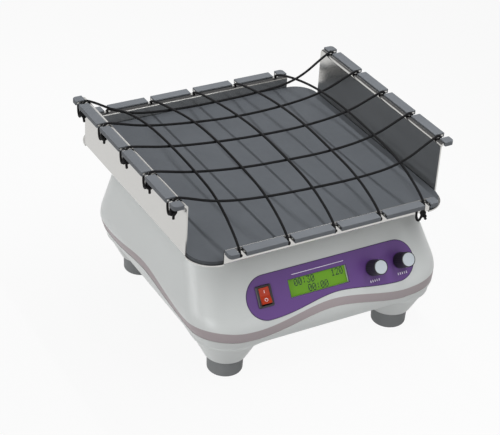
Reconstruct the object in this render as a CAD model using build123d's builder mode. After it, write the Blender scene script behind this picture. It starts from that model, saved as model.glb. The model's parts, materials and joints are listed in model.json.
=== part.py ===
from build123d import *
import os
from math import cos, radians, sin, tan

# Orbital shaker: a square tray with an elastic net, carried on five parallel cranks above a moulded casing.
# Millimetres, +Z up, front towards -Y. The origin is on the bench under the middle of the tray at rest.
os.makedirs("parts", exist_ok=True)

# Orbit of the tray
orbit_radius = 12.5
rest_angle = -31.0  # direction in plan from the tray's middle to the drive shaft
running_clearance = 0.05
screw_clearance = 0.15
belt_clearance = 0.3

# Casing
casing_width = 278.0
skirt_setback = 7.6
foot_setback = 36.0
foot_radius = 18.2
foot_height = 18.7
foot_taper = 2.0
foot_edge = 2.5
leg_margin = 2.7
leg_edge = 1.8
leg_blend = 12.0
skirt_height = 48.0
seam_rise = 19.0
casing_height = 138.0
casing_wall = 3.0
side_lean = 11.3
front_lean = 34.0
slope_setback = 2.3
seam_corner = 41.3
top_corner = 44.0
shoulder_round = 38.0
seam_round = 30.0
post_setback = 31.0
post_y = 45.0
post_radius = 6.0
post_rise = 14.0
casing_screw_radius = 2.0
vent_count = 9
vent_pitch = 9.0
vent_row_pitch = 40.0
vent_length = 26.0
vent_width = 3.5

# Accent band
band_high = 16.6
band_top_rise = 10.7
band_low = 5.8
band_bottom_rise = 13.2
wave_reach = 82.0
corner_rise = 3.0
band_inset = 0.3
band_gap = 0.15

# Control panel, in the plane of the front slope
panel_left = -90.1
panel_right = 98.4
panel_top = 50.7
panel_low_left = 6.4
panel_low_middle = 15.7
panel_low_right = 8.7
panel_thickness = 1.0
panel_pocket = 0.8
panel_gap = 0.15
window_left = -42.9
window_width = 64.6
window_top = 39.0
window_height = 17.0
window_gap = 0.2
display_width = 80.0
display_height = 34.0
display_glass_width = 71.0
display_glass_height = 24.0
display_glass_thickness = 2.6
board_thickness = 1.6

# Rocker switch
switch_x = -70.4
switch_v = 30.2
switch_width = 16.5
switch_length = 21.3
switch_rim = 1.8
switch_body_width = 13.0
switch_body_length = 19.2
switch_depth = 14.0
switch_wall = 0.8
rocker_gap = 0.25
rocker_half_travel = 7.0
rocker_pivot_drop = 2.0
rocker_pin_radius = 0.8

# Knobs on push encoders
knob_v = 29.0
time_x = 49.9
speed_x = 81.9
knob_radius = 8.0
knob_length = 16.0
knob_standoff = 1.2
knob_flutes = 24
cap_radius = 6.65
cap_thickness = 1.2
encoder_width = 12.0
encoder_depth = 6.5
bushing_radius = 3.5
bushing_length = 6.5
encoder_shaft_radius = 3.0
nut_width = 10.0
nut_thickness = 2.0
rotor_radius = 5.0

# Control board behind the panel
control_board_width = 150.0
control_board_height = 34.0
control_board_drop = 24.0
control_post_radius = 3.0
control_post_left = -54.0
control_post_right = 65.9
control_post_v = 12.0

# Chassis and drive
chassis_width = 192.0
chassis_front = 76.0
chassis_back = 118.0
chassis_rise = 31.0
chassis_thickness = 3.0
chassis_screw_x = 84.0
chassis_screw_front = -62.0
chassis_screw_back = 106.0
chassis_screw_radius = 2.0
idler_x = 62.0
idler_y = 46.0
shaft_radius = 7.45
main_bearing_outer = 17.5
main_bearing_width = 11.0
main_housing_radius = 21.0
main_housing_flange = 31.0
main_housing_depth = 28.0
flange_thickness = 3.0
pulley_radius = 45.0
pulley_rim = 2.5
pulley_gap = 1.5
pulley_height = 11.0
belt_width = 8.0
belt_thickness = 1.5
motor_pulley_radius = 9.0
motor_y = 88.0
motor_radius = 28.0
motor_height = 28.0
motor_shaft_radius = 4.0
web_thickness = 6.0
web_radius = 20.0
counterweight_radius = 50.0
counterweight_inner = 25.0
counterweight_angle = 124.0
counterweight_thickness = 12.0
idler_housing_height = 24.0
idler_housing_radius = 13.5
idler_flange_radius = 20.0
idler_arm_thickness = 7.0
idler_arm_radius = 9.0
idler_arm_gap = 2.0

# Journal bearings, all alike
bearing_outer = 11.0
bearing_width = 7.0
journal_radius = 3.95
pin_radius = 4.6
opening_clearance = 0.5

# Carriage and tray
platform_gap = 10.3
carriage_thickness = 4.5
carriage_width = 170.0
carriage_depth = 136.0
carriage_slot_length = 60.0
carriage_slot_width = 22.0
boss_radius = 14.0
boss_clearance = 1.3
tray_width = 276.0
tray_corner = 26.0
tray_sheet = 1.5
tray_bend = 3.0
tray_side_height = 56.0
tray_end_height = 17.3
flange_width = 12.0
notch_pitch = 50.0
notch_width = 7.2
notch_depth = 7.5
notch_count = 5
mat_thickness = 3.0
mat_gap = 0.5
tray_screw_x = 70.0
tray_screw_y = 18.0
tray_screw_radius = 2.5

# Edge trims and net
trim_thickness = 1.5
trim_width = 8.9
trim_gap = 7.2
trim_corner = 4.0
cord_diameter = 2.5
cord_gap = 1.2
cord_bend = 5.0
cord_x = 145.2
knot_radius = 3.4
knot_drop = 5.2

# Power supply and inlet
supply_width = 54.0
supply_depth = 118.0
supply_x = -73.0
supply_y = 18.0
supply_standoff = 6.0
supply_part_height = 20.0
inlet_x = 70.0
inlet_v = 34.0
inlet_width = 50.0
inlet_height = 27.0
inlet_socket_width = 24.2
inlet_socket_height = 16.4
inlet_socket_depth = 16.5
inlet_screw_pitch = 40.0

# Places that follow from the sizes
shaft_x = orbit_radius * cos(radians(rest_angle))
shaft_y = orbit_radius * sin(radians(rest_angle))
skirt_width = casing_width - 2 * skirt_setback
foot_pitch = skirt_width - 2 * foot_setback
post_x = casing_width / 2 - post_setback
seam_height = skirt_height + seam_rise
post_split = skirt_height + post_rise
band_top = skirt_height + band_high
band_bottom = skirt_height + band_low
floor_top = skirt_height + casing_wall
chassis_bottom = floor_top + chassis_rise
chassis_top = chassis_bottom + chassis_thickness
pulley_bottom = chassis_top + pulley_gap
web_bottom = pulley_bottom + pulley_height + pulley_gap
house = Plane((shaft_x, shaft_y, 0))
slope_normal = (0, -cos(radians(front_lean)), sin(radians(front_lean)))
slope_start = casing_width / 2 - slope_setback
slope = Plane((shaft_x, shaft_y - slope_start, seam_height), x_dir=(1, 0, 0), z_dir=slope_normal)
rear_normal = (0, cos(radians(side_lean)), sin(radians(side_lean)))
rear = Plane((shaft_x, shaft_y + casing_width / 2, seam_height), x_dir=(-1, 0, 0), z_dir=rear_normal)
idler_places = [(-idler_x, -idler_y), (idler_x, -idler_y), (-idler_x, idler_y), (idler_x, idler_y)]
foot_places = [(x * foot_pitch / 2, y * foot_pitch / 2) for x in (-1, 1) for y in (-1, 1)]
tray_bottom = casing_height + platform_gap
tray_floor = tray_bottom + tray_sheet
flange_side = tray_bottom + tray_side_height
flange_end = tray_bottom + tray_end_height
tray_half = tray_width / 2
flange_edge = tray_half + flange_width
wall_half = tray_half - tray_corner
journal_bottom = casing_height + boss_clearance


def write(builder, name):
    """Labels a finished piece and writes it as STEP."""
    builder.part.label = name
    export_step(builder.part, f"parts/{name}.step")


def half_width(height):
    """Half the casing's width across its sides at a height."""
    if height < seam_height:
        taper = (casing_width - skirt_width) / 2 / (seam_height - skirt_height)
        return casing_width / 2 - (seam_height - height) * taper
    return casing_width / 2 - (height - seam_height) * tan(radians(side_lean))


def front_reach(height):
    """Distance from the drive shaft to the casing's front at a height."""
    if height < seam_height:
        return half_width(height) - slope_setback * (height - skirt_height) / (seam_height - skirt_height)
    return slope_start - (height - seam_height) * tan(radians(front_lean))


def casing_section(height, inset, corner):
    """Rounded square outline of the casing at a height, moved in by an inset."""
    sides = half_width(height) - inset
    front = front_reach(height) - inset / cos(radians(front_lean))
    with BuildSketch(house.offset(height)) as section:
        with Locations((0, (sides - front) / 2)):
            RectangleRounded(2 * sides, sides + front, corner)
    return section.sketch


def casing_form(inset, floor):
    """The casing's rounded outer form, or with an inset the hollow inside its wall."""
    roof = casing_height - inset
    floor_corner = half_width(floor) - foot_pitch / 2 - inset
    with BuildPart() as form:
        add(casing_section(floor, inset, floor_corner))
        add(casing_section(seam_height, inset, seam_corner - inset))
        loft(ruled=True)
        add(casing_section(seam_height, inset, seam_corner - inset))
        add(casing_section(roof, inset, top_corner - inset))
        loft(ruled=True)
        fillet(form.edges().group_by(Axis.Z)[-1], shoulder_round - inset)
        seam_edges = form.edges().filter_by_position(Axis.Z, seam_height - 0.1, seam_height + 0.1)
        fillet(seam_edges, seam_round)
    return form.part


def under_wave(low, rise):
    """What lies below a line that dips at two places on each side and swells to a crest between them."""
    reach = casing_width / 2 + 20
    corner = half_width(low) - seam_corner * (1 - cos(radians(45)))
    with BuildPart() as quarter:
        with BuildSketch(Plane.XZ):
            with BuildLine():
                dips = [(-wave_reach, low), (0, low + rise), (wave_reach, low)]
                ends = [(-corner, low + corner_rise), (corner, low + corner_rise)]
                Spline(ends[0], *dips, ends[1], tangents=[(1, 0), (1, 0)])
                far = low + corner_rise
                Polyline(ends[1], (reach, far), (reach, 0), (-reach, 0), (-reach, far), ends[0])
            make_face()
        extrude(amount=reach)
        with BuildSketch():
            with BuildLine():
                Polyline((0, 0), (-reach, -reach), (reach, -reach), close=True)
            make_face()
        extrude(amount=casing_height, mode=Mode.INTERSECT)
    with BuildPart() as below:
        with Locations(house):
            with PolarLocations(0, 4):
                add(quarter.part)
    return below.part


def panel_shape(gap):
    """Outline of the control panel on the slope, moved in by a gap: round ends and a waved lower edge."""
    top = panel_top - gap
    low_left = panel_low_left + gap
    low_right = panel_low_right + gap
    left_x = panel_left + (panel_top - panel_low_left) / 2
    right_x = panel_right - (panel_top - panel_low_right) / 2
    with BuildSketch() as outline:
        with BuildLine():
            Line((left_x, top), (right_x, top))
            ThreePointArc((right_x, top), (panel_right - gap, (top + low_right) / 2), (right_x, low_right))
            middle = ((left_x + right_x) / 2, panel_low_middle + gap)
            Spline((right_x, low_right), middle, (left_x, low_left), tangents=[(-1, 0), (-1, 0)])
            ThreePointArc((left_x, low_left), (panel_left + gap, (top + low_left) / 2), (left_x, top))
        make_face()
    return outline.sketch


def screw(shank_radius, length, head_height):
    """Socket screw standing on its shank: the head's underside is at its origin, the shank points down."""
    with BuildPart() as made:
        Cylinder(shank_radius, length, align=(Align.CENTER, Align.CENTER, Align.MAX))
        Cylinder(shank_radius * 1.8, head_height, align=(Align.CENTER, Align.CENTER, Align.MIN))
        with BuildSketch(Plane.XY.offset(head_height)):
            RegularPolygon(shank_radius, 6)
        extrude(amount=-head_height / 2, mode=Mode.SUBTRACT)
    return made.part


def down(height):
    """The housing's plane at a height, turned over so that what stands on it points down."""
    return Plane((shaft_x, shaft_y, height), x_dir=(1, 0, 0), z_dir=(0, 0, -1))


# Feet and the moulded casing
screw_seat = 6.0
with BuildPart() as feet:
    with BuildSketch(house.offset(foot_height)):
        with Locations(*foot_places):
            Circle(foot_radius)
    extrude(amount=-foot_height, taper=foot_taper)
    fillet(feet.edges().group_by(Axis.Z)[0], foot_edge)
    with Locations(house.offset(foot_height)):
        with Locations(*foot_places):
            Hole(casing_screw_radius + screw_clearance, foot_height)
    with BuildSketch(house):
        with Locations(*foot_places):
            Circle(foot_radius / 3)
    extrude(amount=screw_seat, mode=Mode.SUBTRACT)
write(feet, "feet")

foot_screw_length = 22.0
with BuildPart() as foot_screws:
    with Locations(down(screw_seat)):
        with Locations(*foot_places):
            add(screw(casing_screw_radius, foot_screw_length, 2.5))
write(foot_screws, "foot_screws")

outer_form = casing_form(0, skirt_height)
inner_form = casing_form(casing_wall, skirt_height + casing_wall)
below_band_top = under_wave(band_top, band_top_rise)
below_band_bottom = under_wave(band_bottom, band_bottom_rise)

chassis_rows = (chassis_screw_front, chassis_screw_back)
chassis_places = [(x, y) for x in (-chassis_screw_x, chassis_screw_x) for y in chassis_rows]
post_places = [(x, y) for x in (-post_x, post_x) for y in (-post_y, post_y)]
leg_bottom_radius = foot_radius + leg_margin
leg_top_radius = half_width(skirt_height) - foot_pitch / 2
post_sink = 7.0
with BuildPart() as leg:
    with BuildSketch(Plane.XZ):
        with BuildLine():
            sole = [(0, foot_height), (leg_bottom_radius, foot_height)]
            root = [(leg_top_radius, skirt_height), (leg_top_radius + leg_blend, skirt_height)]
            side = FilletPolyline(*sole, *root, radius=[leg_edge, leg_blend])
            Polyline(side @ 1, (leg_top_radius + leg_blend, floor_top), (0, floor_top), side @ 0)
        make_face()
    revolve(axis=Axis.Z)
with BuildPart() as legs:
    with Locations(house):
        with Locations(*foot_places):
            add(leg.part)
    with BuildSketch(house):
        RectangleRounded(skirt_width, skirt_width, leg_top_radius)
    extrude(amount=floor_top, mode=Mode.INTERSECT)

with BuildPart() as lower_casing:
    add(outer_form)
    add(inner_form, mode=Mode.SUBTRACT)
    add(below_band_bottom, mode=Mode.INTERSECT)
    add(legs.part)
    with BuildSketch(house.offset(floor_top)):
        with Locations(*post_places):
            Circle(post_radius)
    extrude(amount=post_split - floor_top)
    with BuildSketch(house.offset(floor_top)):
        with Locations(*chassis_places):
            Circle(post_radius)
    extrude(amount=chassis_bottom - floor_top)
    supply_reach = (supply_width / 2 - 5, supply_depth / 2 - 5)
    signs = [(x, y) for x in (-1, 1) for y in (-1, 1)]
    supply_places = [(supply_x + x * supply_reach[0], supply_y + y * supply_reach[1]) for x, y in signs]
    with BuildSketch(house.offset(floor_top)):
        with Locations(*supply_places):
            Circle(4)
    extrude(amount=supply_standoff)
    with BuildSketch(house.offset(foot_height)):
        with Locations(*foot_places):
            Circle(casing_screw_radius + screw_clearance)
    extrude(amount=foot_screw_length - foot_height + screw_seat + 1, mode=Mode.SUBTRACT)
    with BuildSketch(house.offset(skirt_height)):
        with Locations(*post_places):
            Circle(casing_screw_radius + screw_clearance)
    extrude(amount=post_split - skirt_height, mode=Mode.SUBTRACT)
    with BuildSketch(house.offset(skirt_height)):
        with Locations(*post_places):
            Circle(casing_screw_radius * 2.2)
    extrude(amount=post_sink, mode=Mode.SUBTRACT)
    with BuildSketch(house.offset(chassis_bottom)):
        with Locations(*chassis_places):
            Circle(chassis_screw_radius + screw_clearance)
    extrude(amount=-16, mode=Mode.SUBTRACT)
    with BuildSketch(house.offset(skirt_height)):
        with GridLocations(vent_pitch, vent_row_pitch, vent_count, 2):
            SlotOverall(vent_length, vent_width, rotation=90)
    extrude(amount=casing_wall, mode=Mode.SUBTRACT)
write(lower_casing, "lower_casing")

with BuildPart() as accent_band:
    add(casing_form(band_inset, skirt_height))
    add(inner_form, mode=Mode.SUBTRACT)
    add(under_wave(band_top - band_gap, band_top_rise), mode=Mode.INTERSECT)
    add(under_wave(band_bottom + band_gap, band_bottom_rise), mode=Mode.SUBTRACT)
write(accent_band, "accent_band")

casing_screw_length = 36.0
with BuildPart() as posts:
    with BuildSketch(house.offset(post_split)):
        with Locations(*post_places):
            Circle(post_radius)
    extrude(amount=casing_height - post_split)
    with BuildSketch(house.offset(post_split)):
        with Locations(*post_places):
            Circle(casing_screw_radius + screw_clearance)
    extrude(amount=casing_screw_length - post_split + skirt_height + post_sink + 1, mode=Mode.SUBTRACT)
    add(outer_form, mode=Mode.INTERSECT)

opening_radius = orbit_radius + pin_radius + opening_clearance
control_rows = (knob_v - control_post_v, knob_v + control_post_v)
control_places = [(x, v) for x in (control_post_left, control_post_right) for v in control_rows]
switch_hole_width = switch_body_width + 2 * window_gap
switch_hole_length = switch_body_length + 2 * window_gap
inlet_screw_places = [(side * inlet_screw_pitch / 2 - inlet_x, inlet_v) for side in (-1, 1)]
with BuildPart() as upper_casing:
    add(outer_form)
    add(inner_form, mode=Mode.SUBTRACT)
    add(below_band_top, mode=Mode.SUBTRACT)
    add(posts.part)
    with BuildSketch(slope.offset(-casing_wall / 2)):
        with Locations(*control_places):
            Circle(control_post_radius)
    extrude(amount=casing_wall / 2 - control_board_drop)
    with BuildSketch(house.offset(casing_height)):
        with Locations((0, 0), *idler_places):
            Circle(opening_radius)
    extrude(amount=-2 * casing_wall, mode=Mode.SUBTRACT)
    with BuildSketch(slope.offset(-panel_pocket)):
        add(panel_shape(0))
    extrude(amount=2 * panel_pocket, mode=Mode.SUBTRACT)
    with BuildSketch(slope):
        with Locations((window_left + window_width / 2, window_top - window_height / 2)):
            Rectangle(window_width, window_height)
        with Locations((switch_x, switch_v)):
            Rectangle(switch_hole_width, switch_hole_length)
        with Locations((time_x, knob_v), (speed_x, knob_v)):
            Circle(bushing_radius + window_gap)
    extrude(amount=-2 * casing_wall, mode=Mode.SUBTRACT)
    with BuildSketch(rear):
        with Locations((-inlet_x, inlet_v)):
            RectangleRounded(inlet_socket_width + 3.4, inlet_socket_height + 3.4, 2)
        with Locations(*inlet_screw_places):
            Circle(1.6)
    extrude(amount=-2 * casing_wall, mode=Mode.SUBTRACT)
write(upper_casing, "upper_casing")

with BuildPart() as casing_screws:
    with Locations(down(skirt_height + post_sink)):
        with Locations(*post_places):
            add(screw(casing_screw_radius, casing_screw_length, 3))
write(casing_screws, "casing_screws")

# Control panel and what sits in it
with BuildPart() as control_panel:
    with BuildSketch(slope.offset(-panel_pocket)):
        add(panel_shape(panel_gap))
        with Locations((window_left + window_width / 2, window_top - window_height / 2)):
            Rectangle(window_width, window_height, mode=Mode.SUBTRACT)
        with Locations((switch_x, switch_v)):
            Rectangle(switch_hole_width, switch_hole_length, mode=Mode.SUBTRACT)
        with Locations((time_x, knob_v), (speed_x, knob_v)):
            Circle(bushing_radius + window_gap, mode=Mode.SUBTRACT)
    extrude(amount=panel_thickness)
write(control_panel, "control_panel")

window_middle = (window_left + window_width / 2, window_top - window_height / 2)
with BuildPart() as display_glass:
    with BuildSketch(slope.offset(-casing_wall)):
        with Locations(window_middle):
            Rectangle(display_glass_width, display_glass_height)
    extrude(amount=-display_glass_thickness)
write(display_glass, "display_glass")

with BuildPart() as display_board:
    with BuildSketch(slope.offset(-casing_wall - display_glass_thickness)):
        with Locations(window_middle):
            Rectangle(display_width, display_height)
            with GridLocations(display_width - 6, display_height - 6, 2, 2):
                Circle(1.3, mode=Mode.SUBTRACT)
    extrude(amount=-board_thickness)
    with BuildSketch(slope.offset(-casing_wall - display_glass_thickness)):
        with Locations(window_middle):
            Rectangle(display_glass_width + 2.4, display_glass_height + 2.4)
            Rectangle(display_glass_width + 0.2, display_glass_height + 0.2, mode=Mode.SUBTRACT)
    extrude(amount=display_glass_thickness - 0.2)
write(display_board, "display_board")

panel_face = panel_thickness - panel_pocket
with BuildPart() as switch_frame:
    with BuildSketch(slope.offset(panel_face)):
        with Locations((switch_x, switch_v)):
            RectangleRounded(switch_width, switch_length, 1.5)
    extrude(amount=switch_rim)
    chamfer(switch_frame.faces().sort_by(Axis(slope.origin, slope.z_dir))[-1].edges(), 0.6)
    with BuildSketch(slope.offset(panel_face)):
        with Locations((switch_x, switch_v)):
            Rectangle(switch_body_width, switch_body_length)
    extrude(amount=-switch_depth)
    with BuildSketch(slope.offset(panel_face + switch_rim)):
        with Locations((switch_x, switch_v)):
            Rectangle(switch_body_width - 2 * switch_wall, switch_body_length - 2 * switch_wall)
    extrude(amount=-switch_depth + switch_wall, mode=Mode.SUBTRACT)
    with BuildSketch(slope.offset(panel_face - rocker_pivot_drop)):
        with Locations((switch_x, switch_v)):
            Rectangle(switch_body_width, 2 * rocker_pin_radius + 0.2)
    extrude(amount=rocker_pin_radius + 0.1, both=True, mode=Mode.SUBTRACT)
write(switch_frame, "switch_frame")

rocker_width = switch_body_width - 2 * switch_wall - 2 * rocker_gap
rocker_half = switch_body_length / 2 - switch_wall - 0.9
rocker_origin = slope.offset(panel_face - rocker_pivot_drop).from_local_coords((switch_x, switch_v, 0))
rocker_lean = radians(front_lean + rocker_half_travel)
rocker_plane = Plane(rocker_origin, x_dir=(0, sin(rocker_lean), cos(rocker_lean)), z_dir=(1, 0, 0))
with BuildPart() as rocker:
    with BuildSketch(rocker_plane):
        with BuildLine():
            Polyline(
                (0, 3.6),
                (rocker_half, 4.6),
                (rocker_half - 0.4, 1.0),
                (3, -4),
                (-3, -4),
                (0.4 - rocker_half, 1.0),
                (-rocker_half, 4.6),
                close=True,
            )
        make_face()
    extrude(amount=rocker_width / 2, both=True)
    with BuildSketch(rocker_plane):
        Circle(rocker_pin_radius)
    extrude(amount=switch_body_width / 2 - 0.2, both=True)
write(rocker, "rocker")

encoder_places = [(time_x, knob_v), (speed_x, knob_v)]
encoder_front = -casing_wall - 0.1
rotor_room = 4.4
with BuildPart() as encoder_bodies:
    with BuildSketch(slope.offset(encoder_front)):
        with Locations(*encoder_places):
            RectangleRounded(encoder_width, encoder_width, 1)
    extrude(amount=-encoder_depth)
    with BuildSketch(slope.offset(encoder_front)):
        with Locations(*encoder_places):
            Circle(bushing_radius)
    extrude(amount=bushing_length)
    with BuildSketch(slope.offset(encoder_front - 1)):
        with Locations(*encoder_places):
            Circle(rotor_radius + 0.2)
    extrude(amount=-rotor_room, mode=Mode.SUBTRACT)
    with BuildSketch(slope.offset(encoder_front - 1)):
        with Locations(*encoder_places):
            Circle(encoder_shaft_radius + running_clearance)
    extrude(amount=bushing_length + 1, mode=Mode.SUBTRACT)
write(encoder_bodies, "encoder_bodies")

with BuildPart() as encoder_nuts:
    with BuildSketch(slope.offset(panel_face)):
        with Locations(*encoder_places):
            RegularPolygon(nut_width / 2, 6, major_radius=False)
            Circle(bushing_radius, mode=Mode.SUBTRACT)
    extrude(amount=nut_thickness)
write(encoder_nuts, "encoder_nuts")

knob_back = panel_face + knob_standoff
knob_front = knob_back + knob_length
knob_bore_depth = nut_thickness + 2.5
for name, place in (("time", time_x), ("speed", speed_x)):
    with BuildPart() as rotor:
        with BuildSketch(slope.offset(encoder_front - 1.2)):
            with Locations((place, knob_v)):
                Circle(rotor_radius)
                Circle(encoder_shaft_radius + running_clearance, mode=Mode.SUBTRACT)
        extrude(amount=0.4 - rotor_room)
    write(rotor, f"{name}_rotor")

    with BuildPart() as shaft:
        with BuildSketch(slope.offset(encoder_front - rotor_room)):
            with Locations((place, knob_v)):
                Circle(encoder_shaft_radius)
        extrude(amount=rotor_room - encoder_front + knob_front - 4)
    write(shaft, f"{name}_shaft")

    with BuildPart() as knob:
        with BuildSketch(slope.offset(knob_back)):
            with Locations((place, knob_v)):
                Circle(knob_radius)
        extrude(amount=knob_length, taper=1.5)
        with BuildSketch(slope.offset(knob_back)):
            with Locations((place, knob_v)):
                with PolarLocations(knob_radius, knob_flutes):
                    Circle(0.45)
        extrude(amount=knob_length, mode=Mode.SUBTRACT)
        with BuildSketch(slope.offset(knob_back)):
            with Locations((place, knob_v)):
                Circle(knob_radius - 1.6)
        extrude(amount=knob_bore_depth, mode=Mode.SUBTRACT)
        with BuildSketch(slope.offset(knob_back)):
            with Locations((place, knob_v)):
                Circle(encoder_shaft_radius)
        extrude(amount=knob_length - 4, mode=Mode.SUBTRACT)
        with BuildSketch(slope.offset(knob_front)):
            with Locations((place, knob_v)):
                Circle(cap_radius)
        extrude(amount=-cap_thickness / 2, mode=Mode.SUBTRACT)
    write(knob, f"{name}_knob")

    with BuildPart() as cap:
        with BuildSketch(slope.offset(knob_front - cap_thickness / 2)):
            with Locations((place, knob_v)):
                Circle(cap_radius)
        extrude(amount=cap_thickness)
        chamfer(cap.faces().sort_by(Axis(slope.origin, slope.z_dir))[-1].edges(), 0.3)
    write(cap, f"{name}_cap")

board_middle = (0, knob_v)
with BuildPart() as control_board:
    with BuildSketch(slope.offset(-control_board_drop)):
        with Locations(board_middle):
            Rectangle(control_board_width, control_board_height)
    extrude(amount=-board_thickness)
    with BuildSketch(slope.offset(-control_board_drop)):
        with Locations((-24, knob_v), (20, knob_v + 6)):
            Rectangle(18, 10)
        with Locations((40, knob_v - 9)):
            Rectangle(24, 6)
    extrude(amount=5)
write(control_board, "control_board")

# Chassis plate with the drive
chassis_middle = (0, (chassis_back - chassis_front) / 2)
chassis_depth = chassis_back + chassis_front
main_screw_circle = (main_housing_flange + main_housing_radius) / 2
main_screw_radius = 2.0
idler_screw_radius = 1.6
idler_screw_reach = (idler_flange_radius + idler_housing_radius) / 2
idler_screws = [(x + s * idler_screw_reach, y) for x, y in idler_places for s in (-1, 1)]
motor_screw_circle = 19.0
with BuildPart() as chassis_plate:
    with BuildSketch(house.offset(chassis_bottom)):
        with Locations(chassis_middle):
            RectangleRounded(chassis_width, chassis_depth, 12)
        Circle(shaft_radius + 3, mode=Mode.SUBTRACT)
        with PolarLocations(main_screw_circle, 4, start_angle=45):
            Circle(main_screw_radius + screw_clearance, mode=Mode.SUBTRACT)
        with Locations(*chassis_places):
            Circle(chassis_screw_radius + screw_clearance, mode=Mode.SUBTRACT)
        with Locations(*idler_screws):
            Circle(idler_screw_radius + screw_clearance, mode=Mode.SUBTRACT)
        with Locations((0, motor_y)):
            Circle(motor_pulley_radius + 1, mode=Mode.SUBTRACT)
            with PolarLocations(motor_screw_circle, 4, start_angle=45):
                Circle(main_screw_radius + screw_clearance, mode=Mode.SUBTRACT)
    extrude(amount=chassis_thickness)
write(chassis_plate, "chassis_plate")

with BuildPart() as chassis_screws:
    with Locations(house.offset(chassis_top)):
        with Locations(*chassis_places):
            add(screw(chassis_screw_radius, 15, 2.5))
write(chassis_screws, "chassis_screws")

main_seat = chassis_bottom - main_housing_depth
with BuildPart() as main_bearing_housing:
    with BuildSketch(house.offset(chassis_bottom)):
        Circle(main_housing_flange)
    extrude(amount=-flange_thickness)
    with BuildSketch(house.offset(chassis_bottom)):
        Circle(main_housing_radius)
    extrude(amount=-main_housing_depth)
    with BuildSketch(house.offset(chassis_bottom)):
        Circle(main_bearing_outer)
    extrude(amount=-main_bearing_width, mode=Mode.SUBTRACT)
    with BuildSketch(house.offset(main_seat)):
        Circle(main_bearing_outer)
    extrude(amount=main_bearing_width, mode=Mode.SUBTRACT)
    with BuildSketch(house.offset(main_seat)):
        Circle(main_bearing_outer - 3)
    extrude(amount=main_housing_depth, mode=Mode.SUBTRACT)
    with BuildSketch(house.offset(chassis_bottom)):
        with PolarLocations(main_screw_circle, 4, start_angle=45):
            Circle(main_screw_radius + screw_clearance)
    extrude(amount=-flange_thickness, mode=Mode.SUBTRACT)
write(main_bearing_housing, "main_bearing_housing")

with BuildPart() as main_bearings:
    for bottom in (main_seat, chassis_bottom - main_bearing_width):
        with BuildSketch(house.offset(bottom)):
            Circle(main_bearing_outer)
            Circle(shaft_radius + running_clearance, mode=Mode.SUBTRACT)
        extrude(amount=main_bearing_width)
write(main_bearings, "main_bearings")

with BuildPart() as main_housing_screws:
    with Locations(down(chassis_bottom - flange_thickness)):
        with PolarLocations(main_screw_circle, 4, start_angle=45):
            add(screw(main_screw_radius, flange_thickness + chassis_thickness, 2.5))
write(main_housing_screws, "main_housing_screws")

idler_top = chassis_top + idler_housing_height
with BuildPart() as idler_housings:
    with BuildSketch(house.offset(chassis_top)):
        with Locations(*idler_places):
            Circle(idler_flange_radius)
    extrude(amount=flange_thickness)
    with BuildSketch(house.offset(chassis_top)):
        with Locations(*idler_places):
            Circle(idler_housing_radius)
    extrude(amount=idler_housing_height)
    with BuildSketch(house.offset(chassis_top)):
        with Locations(*idler_places):
            Circle(bearing_outer - 2)
    extrude(amount=idler_housing_height, mode=Mode.SUBTRACT)
    with BuildSketch(house.offset(idler_top)):
        with Locations(*idler_places):
            Circle(bearing_outer)
    extrude(amount=-bearing_width, mode=Mode.SUBTRACT)
    with BuildSketch(house.offset(chassis_top + flange_thickness)):
        with Locations(*idler_places):
            Circle(bearing_outer)
    extrude(amount=bearing_width, mode=Mode.SUBTRACT)
    with BuildSketch(house.offset(chassis_top)):
        with Locations(*idler_screws):
            Circle(idler_screw_radius + screw_clearance)
    extrude(amount=flange_thickness, mode=Mode.SUBTRACT)
write(idler_housings, "idler_housings")

with BuildPart() as idler_bearings:
    for bottom in (chassis_top + flange_thickness, idler_top - bearing_width):
        with BuildSketch(house.offset(bottom)):
            with Locations(*idler_places):
                Circle(bearing_outer)
                Circle(journal_radius + running_clearance, mode=Mode.SUBTRACT)
        extrude(amount=bearing_width)
write(idler_bearings, "idler_bearings")

with BuildPart() as idler_housing_screws:
    with Locations(house.offset(chassis_top + flange_thickness)):
        with Locations(*idler_screws):
            add(screw(idler_screw_radius, flange_thickness + chassis_thickness, 2))
write(idler_housing_screws, "idler_housing_screws")

# Motor, belt and the two pulleys
with BuildPart() as motor_body:
    with BuildSketch(house.offset(chassis_bottom)):
        with Locations((0, motor_y)):
            Circle(motor_radius)
    extrude(amount=-motor_height)
    fillet(motor_body.edges().group_by(Axis.Z)[0], 3)
    with BuildSketch(house.offset(chassis_bottom)):
        with Locations((0, motor_y)):
            Circle(motor_shaft_radius + running_clearance)
    extrude(amount=-motor_height + 4, mode=Mode.SUBTRACT)
    with BuildSketch(house.offset(chassis_bottom)):
        with Locations((0, motor_y)):
            with PolarLocations(motor_screw_circle, 4, start_angle=45):
                Circle(main_screw_radius + screw_clearance)
    extrude(amount=-6, mode=Mode.SUBTRACT)
write(motor_body, "motor_body")

with BuildPart() as motor_screws:
    with Locations(house.offset(chassis_top)):
        with Locations((0, motor_y)):
            with PolarLocations(motor_screw_circle, 4, start_angle=45):
                add(screw(main_screw_radius, 8, 1.4))
write(motor_screws, "motor_screws")

pulley_top = pulley_bottom + pulley_height
with BuildPart() as motor_shaft:
    with BuildSketch(house.offset(chassis_bottom - motor_height + 6)):
        with Locations((0, motor_y)):
            Circle(motor_shaft_radius)
    extrude(amount=pulley_top - chassis_bottom + motor_height - 6 + 1)
write(motor_shaft, "motor_shaft")


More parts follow.
